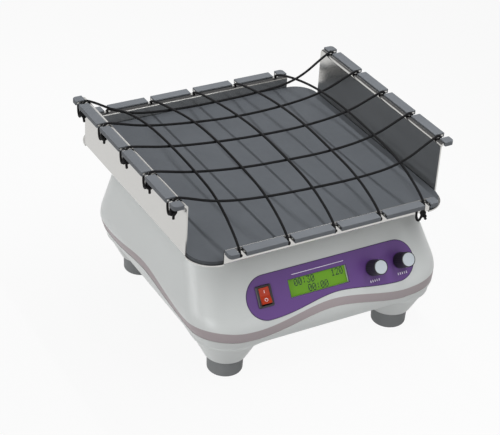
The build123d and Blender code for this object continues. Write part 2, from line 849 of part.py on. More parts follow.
def flanged_pulley(radius, bore, centre):
    """Flat-belt pulley with a rim above and below the belt."""
    belt_room = belt_width + 1
    rim_height = (pulley_height - belt_room) / 2
    with BuildPart() as pulley:
        with BuildSketch(house.offset(pulley_bottom)):
            with Locations(centre):
                Circle(radius + pulley_rim)
        extrude(amount=pulley_height)
        with BuildSketch(house.offset(pulley_bottom + rim_height)):
            with Locations(centre):
                Circle(radius + pulley_rim)
                Circle(radius, mode=Mode.SUBTRACT)
        extrude(amount=belt_room, mode=Mode.SUBTRACT)
        with BuildSketch(house.offset(pulley_bottom)):
            with Locations(centre):
                Circle(bore)
        extrude(amount=pulley_height, mode=Mode.SUBTRACT)
    return pulley


motor_pulley = flanged_pulley(motor_pulley_radius, motor_shaft_radius, (0, motor_y))
write(motor_pulley, "motor_pulley")

spoke_hole = 9.5
with BuildPart() as driven_pulley:
    add(flanged_pulley(pulley_radius, shaft_radius, (0, 0)).part)
    with BuildSketch(house.offset(pulley_bottom)):
        with PolarLocations((pulley_radius + shaft_radius) / 2 + 1, 6):
            Circle(spoke_hole)
    extrude(amount=pulley_height, mode=Mode.SUBTRACT)
write(driven_pulley, "driven_pulley")

belt_bottom = pulley_bottom + (pulley_height - belt_width) / 2


def belt_outline(extra):
    """Outer edge of the belt round both pulleys, grown by a thickness."""
    with BuildSketch(house.offset(belt_bottom)) as outline:
        Circle(pulley_radius + belt_clearance + extra)
        with Locations((0, motor_y)):
            Circle(motor_pulley_radius + belt_clearance + extra)
        make_hull()
    return outline.sketch


with BuildPart() as drive_belt:
    add(belt_outline(belt_thickness))
    extrude(amount=belt_width)
    add(belt_outline(0))
    extrude(amount=belt_width, mode=Mode.SUBTRACT)
write(drive_belt, "drive_belt")

# Crankshaft with its eccentric pin, and the counterweight opposite the pin
crank_plane = Plane((shaft_x, shaft_y, 0), x_dir=(cos(radians(rest_angle)), sin(radians(rest_angle)), 0))
web_top = web_bottom + web_thickness


def counterweight_shape(inner):
    """Sector of a ring on the side away from the pin."""
    start = -counterweight_angle / 2
    with BuildSketch() as sector:
        with BuildLine():
            outside = CenterArc((0, 0), counterweight_radius, start, counterweight_angle)
            inside = CenterArc((0, 0), inner, start, counterweight_angle)
            Line(outside @ 0, inside @ 0)
            Line(outside @ 1, inside @ 1)
        make_face()
    return sector.sketch


weight_screw_radius = 2.5
weight_places = [(37 * cos(radians(a)), 37 * sin(radians(a))) for a in (-38, 38)]
with BuildPart() as crankshaft:
    with BuildSketch(crank_plane.offset(main_seat - 2)):
        Circle(shaft_radius)
    extrude(amount=web_bottom - main_seat + 2)
    with BuildSketch(crank_plane.offset(web_bottom)):
        Circle(web_radius)
        add(counterweight_shape(web_radius / 2))
    extrude(amount=web_thickness)
    with BuildSketch(Plane.XY.offset(web_top)):
        Circle(pin_radius)
    extrude(amount=journal_bottom - web_top)
    with BuildSketch(Plane.XY.offset(journal_bottom)):
        Circle(journal_radius)
    extrude(amount=bearing_width)
    with BuildSketch(crank_plane.offset(web_bottom)):
        with Locations(*weight_places):
            Circle(weight_screw_radius + screw_clearance)
    extrude(amount=web_thickness, mode=Mode.SUBTRACT)
write(crankshaft, "crankshaft")

with BuildPart() as counterweight:
    with BuildSketch(crank_plane.offset(web_top)):
        add(counterweight_shape(counterweight_inner))
        with Locations(*weight_places):
            Circle(weight_screw_radius + screw_clearance, mode=Mode.SUBTRACT)
    extrude(amount=counterweight_thickness)
write(counterweight, "counterweight")

with BuildPart() as counterweight_screws:
    with Locations(crank_plane.offset(web_top + counterweight_thickness)):
        with Locations(*weight_places):
            add(screw(weight_screw_radius, counterweight_thickness + web_thickness, 3))
write(counterweight_screws, "counterweight_screws")

# Four idler cranks, parallel to the eccentric
arm_bottom = idler_top + idler_arm_gap
arm_top = arm_bottom + idler_arm_thickness
for index, (x, y) in enumerate(idler_places, 1):
    with BuildPart() as idler:
        with BuildSketch(Plane((x + shaft_x, y + shaft_y, chassis_top + flange_thickness))):
            Circle(journal_radius)
        extrude(amount=arm_bottom - chassis_top - flange_thickness)
        with BuildSketch(Plane((x + shaft_x, y + shaft_y, idler_top - bearing_width))):
            Circle(pin_radius)
        extrude(amount=bearing_width - idler_housing_height + flange_thickness + bearing_width)
        with BuildSketch(Plane((x + shaft_x / 2, y + shaft_y / 2, arm_bottom))):
            SlotCenterToCenter(orbit_radius, 2 * idler_arm_radius, rotation=rest_angle)
        extrude(amount=idler_arm_thickness)
        with BuildSketch(Plane((x, y, arm_top))):
            Circle(pin_radius)
        extrude(amount=journal_bottom - arm_top)
        with BuildSketch(Plane((x, y, journal_bottom))):
            Circle(journal_radius)
        extrude(amount=bearing_width)
    write(idler, f"idler_crank_{index}")

# Carriage plate with its five bearings
carriage_bottom = tray_bottom - carriage_thickness
tray_screw_places = [(x, y) for x in (-tray_screw_x, tray_screw_x) for y in (-tray_screw_y, tray_screw_y)]
with BuildPart() as carriage_plate:
    with BuildSketch(Plane.XY.offset(carriage_bottom)):
        RectangleRounded(carriage_width, carriage_depth, 14)
        with Locations((0, idler_y), (0, -idler_y)):
            SlotOverall(carriage_slot_length, carriage_slot_width, mode=Mode.SUBTRACT)
        with Locations(*tray_screw_places):
            Circle(tray_screw_radius + screw_clearance, mode=Mode.SUBTRACT)
    extrude(amount=carriage_thickness)
    with BuildSketch(Plane.XY.offset(journal_bottom)):
        with Locations((0, 0), *idler_places):
            Circle(boss_radius)
    extrude(amount=carriage_bottom - journal_bottom)
    with BuildSketch(Plane.XY.offset(journal_bottom)):
        with Locations((0, 0), *idler_places):
            Circle(bearing_outer)
    extrude(amount=bearing_width, mode=Mode.SUBTRACT)
write(carriage_plate, "carriage_plate")

with BuildPart() as carriage_bearings:
    with BuildSketch(Plane.XY.offset(journal_bottom)):
        with Locations((0, 0), *idler_places):
            Circle(bearing_outer)
            Circle(journal_radius + running_clearance, mode=Mode.SUBTRACT)
    extrude(amount=bearing_width)
write(carriage_bearings, "carriage_bearings")

# Tray: a folded sheet with four flanged walls
notch_places = [(i - (notch_count - 1) / 2) * notch_pitch for i in range(notch_count)]
bend_room = 2 * tray_bend


def folded_wall(turn, flange_top):
    """One wall of the tray folded up from its floor with a flange turned outwards, for a side at an angle."""
    outward = Plane.XY.rotated((0, 0, turn))
    profile = Plane((0, 0, 0), x_dir=outward.x_dir, z_dir=-outward.y_dir)
    start = tray_half - bend_room
    sheet = tray_sheet
    with BuildPart() as wall:
        with BuildSketch(profile):
            with BuildLine():
                foot = [(start, tray_bottom), (tray_half, tray_bottom), (tray_half, flange_top - sheet)]
                outer = FilletPolyline(*foot, (flange_edge, flange_top - sheet), radius=tray_bend)
                edge = (flange_edge, flange_top)
                Line(outer @ 1, edge)
                head = [(tray_half - sheet, flange_top), (tray_half - sheet, tray_floor), (start, tray_floor)]
                inner = FilletPolyline(edge, *head, radius=tray_bend)
                Line(inner @ 1, outer @ 0)
            make_face()
        extrude(amount=wall_half, both=True)
        with BuildSketch(outward.offset(flange_top)):
            with Locations(*[(flange_edge, y) for y in notch_places]):
                SlotOverall(2 * notch_depth, notch_width)
        extrude(amount=-2 * sheet, mode=Mode.SUBTRACT)
    return wall.part


with BuildPart() as tray:
    with BuildSketch(Plane.XY.offset(tray_bottom)):
        RectangleRounded(tray_width, tray_width, tray_corner)
        with Locations((-tray_half, 0), (tray_half, 0)):
            Rectangle(2 * bend_room, 2 * wall_half, mode=Mode.SUBTRACT)
        with Locations((0, -tray_half), (0, tray_half)):
            Rectangle(2 * wall_half, 2 * bend_room, mode=Mode.SUBTRACT)
        with Locations(*tray_screw_places):
            Circle(tray_screw_radius * 1.7, mode=Mode.SUBTRACT)
    extrude(amount=tray_sheet)
    for turn in (0, 180):
        add(folded_wall(turn, flange_side))
    for turn in (90, 270):
        add(folded_wall(turn, flange_end))
write(tray, "tray")

with BuildPart() as tray_screws:
    with Locations(Plane.XY.offset(tray_bottom)):
        with Locations(*tray_screw_places):
            Cylinder(tray_screw_radius * 1.6, tray_sheet, align=(Align.CENTER, Align.CENTER, Align.MIN))
            Cylinder(tray_screw_radius, carriage_thickness, align=(Align.CENTER, Align.CENTER, Align.MAX))
write(tray_screws, "tray_screws")

mat_half = tray_half - tray_sheet - mat_gap
with BuildPart() as mat:
    with BuildSketch(Plane.XY.offset(tray_floor)):
        RectangleRounded(2 * mat_half, 2 * mat_half, tray_corner - tray_sheet)
    extrude(amount=mat_thickness)
    chamfer(mat.edges().group_by(Axis.Z)[0], tray_bend - 0.4)
write(mat, "mat")

# Edge trims: a channel pressed over the flange between the notches
trim_height = tray_sheet + 2 * trim_thickness
trim_edge = flange_edge + trim_thickness
trim_length = notch_pitch - trim_gap
cap_start = notch_places[-1] + trim_gap / 2
cap_length = wall_half + trim_thickness - cap_start


def trim_strips(turn, flange_top):
    """The long trims and the two rounded end caps of one side."""
    outward = Plane.XY.rotated((0, 0, turn))
    strip_middle = trim_edge - trim_width / 2
    with BuildPart() as strips:
        with BuildSketch(outward.offset(flange_top + trim_thickness)):
            for a, b in zip(notch_places, notch_places[1:]):
                with Locations((strip_middle, (a + b) / 2)):
                    Rectangle(trim_width, trim_length)
            for sign in (-1, 1):
                with Locations((strip_middle, sign * (cap_start + cap_length / 2))):
                    Rectangle(trim_width, cap_length)
        extrude(amount=-trim_height)
        corner_edges = strips.edges().filter_by(Axis.Z)
        reach = [e for e in corner_edges if abs((e @ 0).dot(outward.y_dir)) > wall_half + 1]
        outermost = [e for e in reach if (e @ 0).dot(outward.x_dir) > trim_edge - 1]
        fillet(outermost, trim_corner)
        with BuildSketch(outward.offset(flange_top)):
            with Locations(((flange_edge + tray_half) / 2, 0)):
                Rectangle(flange_width, 2 * wall_half)
        extrude(amount=-tray_sheet, mode=Mode.SUBTRACT)
    return strips


for name, turn, flange_top in (
    ("right", 0, flange_side),
    ("rear", 90, flange_end),
    ("left", 180, flange_side),
    ("front", 270, flange_end),
):
    write(trim_strips(turn, flange_top), f"trims_{name}")

# Elastic net: cords from side to side, with the front-to-back cords lying over them
# Heights of the crossings over the tray's underside, a row for each cord that runs lengthwise, from the rear
net_heights = [
    [35.7, 47.5, 50.3, 49.2, 44.8],
    [29.5, 40.6, 44.2, 41.8, 37.8],
    [28.1, 36.3, 40.7, 38.9, 35.2],
    [28.7, 36.8, 39.7, 37.2, 33.7],
    [32.7, 42.3, 44.5, 42.1, 37.2],
]
crossing_rows = notch_places[::-1]
half_step = (cord_diameter + cord_gap) / 2
side_top = flange_side + cord_diameter / 2
end_top = flange_end + cord_diameter / 2


def knot_height(flange_top):
    """Height of a knot's middle under a flange."""
    return flange_top - tray_sheet - trim_thickness - knot_drop


def cord_tube(points):
    """A round cord through its points, with a short arc at each."""
    radii = []
    for before, at, after in zip(points, points[1:], points[2:]):
        a = Vector(*at) - Vector(*before)
        b = Vector(*after) - Vector(*at)
        setback = min(0.45 * a.length, 0.45 * b.length, cord_bend)
        radii.append(setback / tan(radians(a.get_angle(b)) / 2))
    with BuildPart() as tube:
        with BuildLine() as route:
            FilletPolyline(*points, radius=radii)
        with BuildSketch(Plane(route.line @ 0, z_dir=route.line % 0)):
            Circle(cord_diameter / 2)
        sweep()
    return tube.part


with BuildPart() as net_cords_across:
    for y, heights in zip(crossing_rows, zip(*net_heights)):
        low_end = knot_height(flange_side) + knot_radius + 0.3
        middle = [(x, y, tray_bottom + height - half_step) for x, height in zip(notch_places, heights)]
        start = [(-cord_x, y, low_end), (-cord_x, y, side_top + 1.2), (-tray_half + 0.5, y, side_top + 0.1)]
        end = [(-px, py, pz) for px, py, pz in reversed(start)]
        add(cord_tube(start + middle + end))
write(net_cords_across, "net_cords_across")

with BuildPart() as net_cords_lengthwise:
    for x, heights in zip(notch_places, net_heights):
        low_end = knot_height(flange_end) + knot_radius + 0.3
        middle = [(x, y, tray_bottom + height + half_step) for y, height in zip(crossing_rows, heights)]
        start = [(x, cord_x, low_end), (x, cord_x, end_top + 0.8)]
        end = [(px, -py, pz) for px, py, pz in reversed(start)]
        add(cord_tube(start + middle + end))
write(net_cords_lengthwise, "net_cords_lengthwise")

with BuildPart() as net_knots:
    for place in notch_places:
        for sign in (-1, 1):
            at_side = (sign * cord_x, place, knot_height(flange_side))
            at_end = (place, sign * cord_x, knot_height(flange_end))
            with Locations(at_side, at_end):
                Sphere(knot_radius)
write(net_knots, "net_knots")

# Power supply board and the mains inlet
with BuildPart() as power_supply:
    with BuildSketch(house.offset(floor_top + supply_standoff)):
        with Locations((supply_x, supply_y)):
            Rectangle(supply_width, supply_depth)
    extrude(amount=board_thickness)
    with BuildSketch(house.offset(floor_top + supply_standoff + board_thickness)):
        with Locations((supply_x, supply_y - 12)):
            Rectangle(26, 30)
        with Locations((supply_x - 14, supply_y + 34), (supply_x + 8, supply_y + 34)):
            Circle(9)
    extrude(amount=supply_part_height)
write(power_supply, "power_supply")

with BuildPart() as mains_inlet:
    with BuildSketch(rear):
        with Locations((-inlet_x, inlet_v)):
            RectangleRounded(inlet_width, inlet_height, 3)
            with GridLocations(inlet_screw_pitch, 1, 2, 1):
                Circle(1.6, mode=Mode.SUBTRACT)
    extrude(amount=2.5)
    with BuildSketch(rear):
        with Locations((-inlet_x, inlet_v)):
            RectangleRounded(inlet_socket_width + 3, inlet_socket_height + 3, 2)
    extrude(amount=-inlet_socket_depth)
    with BuildSketch(rear.offset(2.5)):
        with Locations((-inlet_x, inlet_v)):
            RectangleRounded(inlet_socket_width, inlet_socket_height, 2)
    extrude(amount=-inlet_socket_depth, mode=Mode.SUBTRACT)
    with BuildSketch(rear.offset(-inlet_socket_depth)):
        with Locations((-inlet_x, inlet_v)):
            with Locations((-7, -2), (7, -2), (0, 3)):
                Rectangle(2, 4)
    extrude(amount=inlet_socket_depth - 4)
write(mains_inlet, "mains_inlet")

with BuildPart() as inlet_screws:
    with Locations(rear.offset(2.5)):
        with Locations(*inlet_screw_places):
            add(screw(1.4, 7, 1.2))
write(inlet_screws, "inlet_screws")
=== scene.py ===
import json
from math import cos, pi, radians, sin

import bmesh
import bpy
import numpy as np
from mathutils import Matrix, Vector

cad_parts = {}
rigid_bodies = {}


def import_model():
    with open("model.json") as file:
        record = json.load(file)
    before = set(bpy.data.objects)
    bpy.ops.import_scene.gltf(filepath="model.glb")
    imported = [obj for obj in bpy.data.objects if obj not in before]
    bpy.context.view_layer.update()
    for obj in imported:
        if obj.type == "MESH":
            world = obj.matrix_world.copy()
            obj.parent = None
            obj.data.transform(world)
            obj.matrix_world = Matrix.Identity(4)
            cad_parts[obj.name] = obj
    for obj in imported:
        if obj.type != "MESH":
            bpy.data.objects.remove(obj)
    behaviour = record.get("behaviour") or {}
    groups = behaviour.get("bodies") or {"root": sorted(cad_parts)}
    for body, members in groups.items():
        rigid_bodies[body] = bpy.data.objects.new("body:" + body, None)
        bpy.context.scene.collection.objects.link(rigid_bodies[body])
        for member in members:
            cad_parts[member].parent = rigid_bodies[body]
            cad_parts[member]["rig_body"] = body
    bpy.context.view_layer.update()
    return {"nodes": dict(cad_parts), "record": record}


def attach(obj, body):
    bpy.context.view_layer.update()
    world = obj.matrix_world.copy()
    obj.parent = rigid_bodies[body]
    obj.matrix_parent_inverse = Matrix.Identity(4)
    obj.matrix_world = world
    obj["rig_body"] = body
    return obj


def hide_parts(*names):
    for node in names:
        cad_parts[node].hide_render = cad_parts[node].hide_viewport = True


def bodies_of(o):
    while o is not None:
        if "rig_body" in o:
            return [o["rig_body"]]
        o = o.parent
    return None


# Orbital shaker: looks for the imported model. Metres, +Z up, front towards -Y.
# The origin is on the bench under the middle of the tray at rest.
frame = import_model()
scene = bpy.context.scene
nodes = frame["nodes"]

# Sizes repeated from the part's source, in metres
orbit_radius = 0.0125
rest_angle = radians(-31)
shaft_x = orbit_radius * cos(rest_angle)
shaft_y = orbit_radius * sin(rest_angle)
tray_half = 0.138
flange_edge = 0.150
tray_sheet = 0.0015
wall_half = 0.112
notch_pitch = 0.050
notch_places = [(i - 2) * notch_pitch for i in range(5)]
trim_thickness = 0.0015
trim_width = 0.0089
cord_radius = 0.00125
cord_x = 145.2
mat_top = 0.1528
front_lean = radians(34)
slope_foot = Vector((shaft_x, shaft_y - 0.1367, 0.067))
slope_x = Vector((1, 0, 0))
slope_up = Vector((0, sin(front_lean), cos(front_lean)))
slope_out = Vector((0, -cos(front_lean), sin(front_lean)))
tray_bend = 0.003
mat_gap = 0.0005

# Places on the panel's slope, in millimetres across and up
knob_row = 29.0
knob_places = (49.9, 81.9)
window_left = -42.9
switch_x = -70.4
switch_v = 30.2
panel_face = 0.2
glass_face = -3.0

# Camera, as resectioned from the photograph
camera_data = bpy.data.cameras.new("camera")
camera = bpy.data.objects.new("camera", camera_data)
scene.collection.objects.link(camera)
scene.camera = camera
camera_data.sensor_width = 36
camera_data.lens = 110.04
camera_data.clip_start = 0.05
camera_data.clip_end = 30
view_right = Vector((0.8591, -0.5118, 0))
view_up = Vector((0.2718, 0.4562, 0.8474))
view_back = Vector((-0.4337, -0.7280, 0.5310))
roll = radians(3.568)
camera_x = view_right * cos(roll) + view_up * sin(roll)
camera_y = view_up * cos(roll) - view_right * sin(roll)
turn = Matrix((camera_x, camera_y, view_back)).transposed().to_4x4()
camera.matrix_world = Matrix.Translation((-0.67887, -1.13025, 0.91733)) @ turn


class Wire:
    """A socket in a material, with arithmetic that adds Math nodes."""

    def __init__(self, tree, socket):
        self.tree = tree
        self.socket = socket

    def _math(self, operation, a, b):
        return self.tree.node("ShaderNodeMath", {"operation": operation}, {0: a, 1: b})[0]

    def __add__(self, other):
        return self._math("ADD", self, other)

    def __radd__(self, other):
        return self._math("ADD", other, self)

    def __mul__(self, other):
        return self._math("MULTIPLY", self, other)

    def __rmul__(self, other):
        return self._math("MULTIPLY", other, self)


class Finish:
    """A material built from nodes, ending in one Principled shader."""

    def __init__(self, name):
        self.material = bpy.data.materials.new(name)
        self.material.use_nodes = True
        self.nodes = self.material.node_tree.nodes
        self.links = self.material.node_tree.links
        self.nodes.clear()
        self.coords = self.node("ShaderNodeTexCoord")

    def node(self, kind, settings=None, inputs=None):
        """Adds a node: settings first, then values or links of its inputs. Gives its outputs."""
        made = self.nodes.new(kind)
        for key, value in (settings or {}).items():
            if key == "stops":
                ramp = made.color_ramp.elements
                while len(ramp) < len(value):
                    ramp.new(0.5)
                for element, (place, colour) in zip(ramp, value):
                    element.position = place
                    element.color = (*colour, 1)
            else:
                setattr(made, key, value)
        for key, value in (inputs or {}).items():
            if isinstance(value, Wire):
                self.links.new(value.socket, made.inputs[key])
            else:
                made.inputs[key].default_value = value
        return [Wire(self, socket) for socket in made.outputs]

    def place(self):
        """Object coordinates."""
        return self.coords[3]

    def noise(self, scale, detail=3.0, rough=0.5, vector=None):
        """Noise value on object coordinates."""
        where = vector or self.place()
        inputs = {"Vector": where, "Scale": scale, "Detail": detail, "Roughness": rough}
        return self.node("ShaderNodeTexNoise", {"noise_dimensions": "3D"}, inputs)[0]

    def stretched(self, scale):
        """Object coordinates stretched by three factors."""
        return self.node("ShaderNodeMapping", {}, {"Vector": self.place(), "Scale": scale})[0]

    def mix(self, factor, first, second):
        """Blend of two colours."""
        made = self.nodes.new("ShaderNodeMix")
        made.data_type = "RGBA"
        made.clamp_factor = True
        for socket, value in ((made.inputs[0], factor), (made.inputs[6], first), (made.inputs[7], second)):
            if isinstance(value, Wire):
                self.links.new(value.socket, socket)
            elif isinstance(value, tuple):
                socket.default_value = (*value, 1)
            else:
                socket.default_value = value
        return Wire(self, made.outputs[2])

    def bump(self, height, distance, strength=1.0):
        """Bump normal from a height wire."""
        inputs = {"Height": height, "Distance": distance, "Strength": strength}
        return self.node("ShaderNodeBump", {}, inputs)[0]

    def close(self, **inputs):
        """Adds the Principled shader and the output, and gives the material."""
        named = {key.replace("_", " "): value for key, value in inputs.items()}
        for key, value in list(named.items()):
            if key in ("Base Color", "Emission Color") and isinstance(value, tuple):
                named[key] = (*value, 1)
        shader = self.node("ShaderNodeBsdfPrincipled", {}, named)[0]
        output = self.nodes.new("ShaderNodeOutputMaterial")
        self.links.new(shader.socket, output.inputs[0])
        return self.material


def tone(level, tint=(1, 1, 1)):
    """Linear colour of a screen grey from 0 to 255 with a tint."""
    share = level / 255
    linear = share / 12.92 if share <= 0.04045 else ((share + 0.055) / 1.055) ** 2.4
    return tuple(linear * t for t in tint)


def screen(red, green, blue):
    """Linear colour of a screen colour from 0 to 255."""
    return tuple(tone(level)[0] for level in (red, green, blue))


def moulded_plastic(name, colour, rough=0.42, grain=0.00004, vary=0.04):
    """Moulded plastic: slow colour drift, a fine spark-eroded grain, and roughness that varies with it."""
    m = Finish(name)
    drift = m.noise(9, 3)
    darker = tuple(c * (1 - vary) for c in colour)
    lighter = tuple(min(1, c * (1 + vary)) for c in colour)
    grain_height = m.noise(2600, 2, 0.6)
    base = m.mix(drift, darker, lighter)
    roughness = rough - 0.03 + 0.06 * m.noise(60, 4)
    return m.close(Base_Color=base, Roughness=roughness, Normal=m.bump(grain_height, grain))


def rubber(name, colour, rough=0.7, grain=0.00008, shine=0.25):
    """Rubber: matt, with a coarse soft grain and dusty patches."""
    m = Finish(name)
    dust = m.noise(28, 5, 0.65)
    base = m.mix(dust, tuple(c * 0.86 for c in colour), tuple(c * 1.14 for c in colour))
    height = m.noise(1500, 3, 0.6)
    roughness = rough - 0.06 + 0.12 * m.noise(120, 3)
    bump = m.bump(height, grain)
    return m.close(Base_Color=base, Roughness=roughness, Specular_IOR_Level=shine, Normal=bump)


def satin_metal(name, colour, rough, streak):
    """Satin metal: brushed streaks vary colour and roughness and lift the surface a little."""
    m = Finish(name)
    lines = m.noise(1.0, 4, 0.7, m.stretched(streak))
    cloud = m.noise(14, 3)
    base = m.mix(lines, tuple(c * 0.93 for c in colour), tuple(min(1, c * 1.05) for c in colour))
    roughness = rough - 0.05 + 0.07 * lines + 0.05 * cloud
    return m.close(Base_Color=base, Metallic=1.0, Roughness=roughness, Normal=m.bump(lines, 0.000004))


casing_finish = moulded_plastic("casing_plastic", screen(203, 206, 205), 0.36, 0.00002, 0.02)
band_finish = moulded_plastic("band_plastic", screen(158, 148, 150), 0.45, 0.00003, 0.03)
panel_finish = moulded_plastic("panel_overlay", screen(96, 64, 128), 0.42, 0.00002, 0.04)
black_finish = moulded_plastic("black_plastic", screen(38, 37, 40), 0.4, 0.00004, 0.1)
cap_finish = moulded_plastic("knob_cap_plastic", screen(192, 200, 206), 0.35, 0.00001, 0.02)
foot_finish = rubber("foot_rubber", screen(128, 130, 131), 0.62, 0.00005)
mat_finish = rubber("mat_rubber", screen(72, 75, 79), 0.6, 0.00005)
trim_finish = rubber("trim_rubber", screen(90, 93, 97), 0.6, 0.00003)
cord_finish = rubber("cord_cover", screen(26, 26, 27), 0.75, 0.00004, 0.12)
belt_finish = rubber("belt_rubber", screen(30, 30, 31), 0.6, 0.00004)
tray_finish = satin_metal("tray_sheet", (0.585, 0.578, 0.56), 0.2, (40, 40, 900))
aluminium_finish = satin_metal("machined_aluminium", (0.78, 0.78, 0.79), 0.3, (700, 700, 60))
steel_finish = satin_metal("machined_steel", (0.56, 0.56, 0.57), 0.28, (600, 600, 90))
board_finish = moulded_plastic("circuit_board", screen(28, 92, 52), 0.45, 0.00005, 0.15)
glass_finish = moulded_plastic("display_window", screen(104, 158, 22), 0.4, 0.00001, 0.03)
rocker_finish = moulded_plastic("rocker_plastic", screen(176, 54, 26), 0.4, 0.00001, 0.05)
panel_line = moulded_plastic("panel_line", screen(38, 26, 52), 0.45, 0.00001, 0.04)
dot_finish = moulded_plastic("display_dots", screen(14, 40, 36), 0.4, 0.00001, 0.02)
mark_finish = moulded_plastic("printed_marks", screen(236, 232, 240), 0.5, 0.00001, 0.02)

by_slot = {
    "casing": casing_finish,
    "band": band_finish,
    "panel": panel_finish,
    "display": glass_finish,
    "circuit_board": board_finish,
    "black_plastic": black_finish,
    "rocker": rocker_finish,
    "knob_cap": cap_finish,
    "foot_rubber": foot_finish,
    "mat_rubber": mat_finish,
    "trim_rubber": trim_finish,
    "cord": cord_finish,
    "tray_sheet": tray_finish,
    "aluminium": aluminium_finish,
    "steel": steel_finish,
    "belt": belt_finish,
}
for entry in frame["record"]["subparts"]:
    mesh = nodes[entry["node"]].data
    mesh.materials.clear()
    mesh.materials.append(by_slot[entry["material_slot"]])


def new_piece(name, vertices, faces, material, body, replaced=(), slot=None):
    """A mesh piece from arrays of corners and faces, smooth shaded, riding on a body."""
    mesh = bpy.data.meshes.new(name)
    mesh.from_pydata(np.asarray(vertices).tolist(), [], np.asarray(faces).tolist())
    mesh.polygons.foreach_set("use_smooth", np.ones(len(mesh.polygons), dtype=bool))
    mesh.materials.append(material)
    mesh.update()
    obj = bpy.data.objects.new(name, mesh)
    scene.collection.objects.link(obj)
    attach(obj, body)
    if replaced:
        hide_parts(*replaced)
    return obj


def body_of(node):
    """The body that carries a node in the record."""
    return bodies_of(nodes[node])[0]


def welded(node, name, material, sharp=30.0):
    """Copy of a node with its corners merged, smooth except at edges sharper than an angle."""
    mesh = nodes[node].data.copy()
    mesh.name = name
    work = bmesh.new()
    work.from_mesh(mesh)
    bmesh.ops.remove_doubles(work, verts=work.verts, dist=2e-6)
    bmesh.ops.dissolve_limit(work, angle_limit=radians(0.4), verts=work.verts, edges=work.edges)
    work.to_mesh(mesh)
    work.free()
    mesh.materials.clear()
    mesh.materials.append(material)
    mesh.polygons.foreach_set("use_smooth", np.ones(len(mesh.polygons), dtype=bool))
    mesh.set_sharp_from_angle(angle=radians(sharp))
    obj = bpy.data.objects.new(name, mesh)
    scene.collection.objects.link(obj)
    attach(obj, body_of(node))
    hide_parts(node)
    return obj


def rounded(node, width, material, segments=3):
    """Welded copy of a node with its edges rounded by a width."""
    obj = welded(node, node + "_round", material)
    bevel = obj.modifiers.new("edges", "BEVEL")
    bevel.width = width
    bevel.segments = segments
    bevel.limit_method = "ANGLE"
    bevel.angle_limit = radians(32)
    bevel.harden_normals = True
    return obj


def grid_faces(rows, columns, closed):
    """Quads of a grid whose columns close on themselves, and whose rows do too where closed is true."""
    row = np.arange(rows if closed else rows - 1)
    column = np.arange(columns)
    r, c = np.meshgrid(row, column, indexing="ij")
    here = r * columns
    after = (r + 1) % rows * columns
    beside = (c + 1) % columns
    return np.stack((here + c, here + beside, after + beside, after + c), axis=-1).reshape(-1, 4)


def tube(points, radius, sides=10, closed=False):
    """Corners and faces of a round tube about a line of points.

    At each point stands a ring: point + radius * (cos a * across + sin a * third), for even angles a.
    Across and third are square to the line. A radius may be given for each point, to round an end off.
    """
    line = np.asarray(points, float)
    ahead = np.roll(line, -1, 0) - np.roll(line, 1, 0) if closed else np.gradient(line, axis=0)
    along = ahead / np.linalg.norm(ahead, axis=1)[:, None]
    axis = np.array((0.31, 0.87, 0.38))
    across = np.cross(along, axis)
    across /= np.linalg.norm(across, axis=1)[:, None]
    third = np.cross(along, across)
    angle = np.arange(sides) * 2 * pi / sides
    ring = np.multiply.outer(across, np.cos(angle)) + np.multiply.outer(third, np.sin(angle))
    ring = ring.transpose(0, 2, 1)
    size = np.broadcast_to(radius, len(line))[:, None, None]
    return (line[:, None, :] + ring * size).reshape(-1, 3), grid_faces(len(line), sides, closed)


def joined(parts):
    """Corners and faces of several meshes in one."""
    starts = np.cumsum([0] + [len(vertices) for vertices, _ in parts[:-1]])
    vertices = np.concatenate([v for v, _ in parts])
    return vertices, np.concatenate([f + n for (_, f), n in zip(parts, starts)])


# Elastic net. Each cord is one smooth spline through the points of its route
# Sizes in millimetres, as in the source. Crossing heights: a list for each cord that runs lengthwise
crossing = [
    (-100, [184.0, 195.8, 198.6, 197.5, 193.1]),
    (-50, [177.8, 188.9, 192.5, 190.1, 186.1]),
    (0, [176.4, 184.6, 189.0, 187.2, 183.5]),
    (50, [177.0, 185.1, 188.0, 185.5, 182.0]),
    (100, [181.0, 190.6, 192.8, 190.4, 185.5]),
]
crossing_rows = (100, 50, 0, -50, -100)
half_step = 1.85
side_top = 205.55
end_top = 166.85
side_knot = 196.1
end_knot = 157.4
knot_to_cord = 3.7
loose_drop = 4.6
tight_lift = 3.2


def net_cord(name, route, replaced):
    """One cord of the net on its route, given in millimetres."""
    curve = bpy.data.curves.new(name, "CURVE")
    curve.dimensions = "3D"
    spline = curve.splines.new("NURBS")
    spline.points.add(len(route) - 1)
    flat = np.column_stack((np.array(route) / 1000, np.ones(len(route))))
    spline.points.foreach_set("co", flat.ravel())
    spline.order_u = 3
    spline.use_endpoint_u = True
    spline.resolution_u = 12
    curve.resolution_u = 12
    curve.bevel_depth = cord_radius
    curve.bevel_resolution = 3
    curve.use_fill_caps = True
    curve.materials.append(cord_finish)
    obj = bpy.data.objects.new(name, curve)
    scene.collection.objects.link(obj)
    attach(obj, "platform")
    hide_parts(replaced)
    return obj


def declare(obj, route):
    """Works out the first point of a route in metres and keeps nothing; the piece is left as it is."""
    tuple(v / 1000 for v in route[0])


for row, y in enumerate(crossing_rows):
    low_end = side_knot + knot_to_cord
    middle = [(x, y, heights[row] - half_step) for x, heights in crossing]
    start = [(-cord_x, y, low_end), (-cord_x, y, side_top + 1.2), (-137.5, y, side_top + 0.1)]
    route = start + middle + [(-x, yy, z) for x, yy, z in reversed(start)]
    declare(net_cord(f"net_across_{row + 1}", route, "net_cords_across"), route)
for column, (x, heights) in enumerate(crossing):
    low_end = end_knot + knot_to_cord
    middle = [(x, y, z + half_step) for y, z in zip(crossing_rows, heights)]
    start = [(x, cord_x, low_end), (x, cord_x, end_top + 0.8)]
    route = start + middle + [(xx, -y, z) for xx, y, z in reversed(start)]
    declare(net_cord(f"net_lengthwise_{column + 1}", route, "net_cords_lengthwise"), route)


